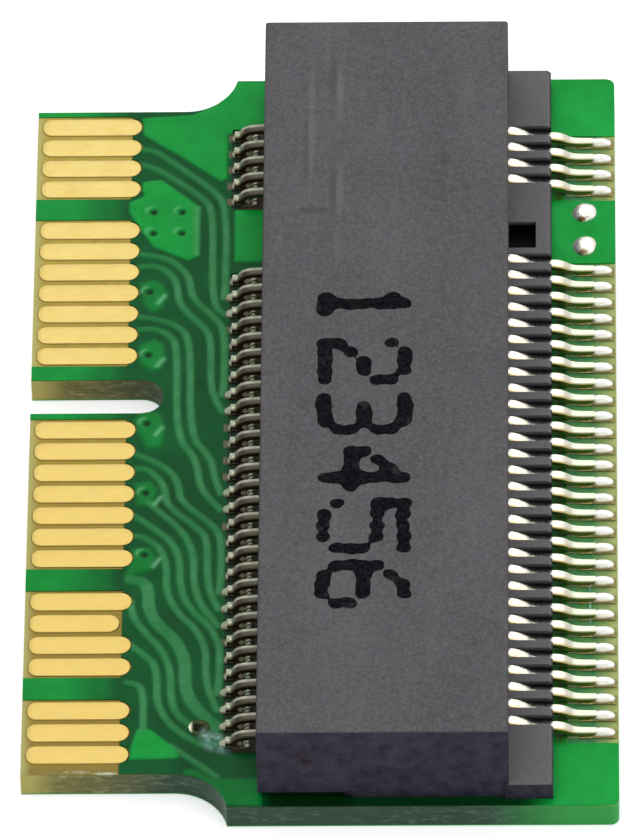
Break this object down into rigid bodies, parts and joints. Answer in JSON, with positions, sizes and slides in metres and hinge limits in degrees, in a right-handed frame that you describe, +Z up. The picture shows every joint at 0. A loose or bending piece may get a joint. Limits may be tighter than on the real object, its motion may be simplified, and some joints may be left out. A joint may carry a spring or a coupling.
{
  "type": "nvme adapter card",
  "caption": "Small green printed board with a notched gold-finger tongue on one long side and a low-profile edge-card socket for a storage module on the other.",
  "frame": {"origin": "centre of the board's underside, which is also the middle of the whole card seen from above", "axes": "+X from the gold-finger edge towards the mouth of the socket, +Y along the contact rows towards the key end, +Z up, from the board's underside to the socket's top"},
  "size_m": [0.0134, 0.0222, 0.003],
  "materials": {
    "laminate": "glass laminate, satin",
    "green_lacquer": "glossy green lacquer",
    "copper": "copper under lacquer",
    "solder": "bright tin",
    "housing_plastic": "matte charcoal",
    "contact_metal": "tinned copper alloy",
    "gold": "plated gold"
  },
  "bodies": {
    "root": {"board_core": "laminate", "solder_mask_top": "green_lacquer", "solder_mask_bottom": "green_lacquer", "signal_traces_top": "copper", "ground_pours_top": "copper", "via_barrels": "copper", "tinned_vias": "solder", "rear_pads": "solder", "front_pads": "solder", "solder_rear": "solder", "solder_front": "solder", "socket_housing": "housing_plastic", "upper_contacts_main": "contact_metal", "upper_contacts_key": "contact_metal", "lower_contacts_main": "contact_metal", "lower_contacts_key": "contact_metal", "fingers_top_1": "gold", "fingers_top_2": "gold", "fingers_top_3": "gold", "fingers_top_4": "gold", "fingers_top_5": "gold", "fingers_bottom_1": "gold", "fingers_bottom_2": "gold"}
  },
  "joints": []
}
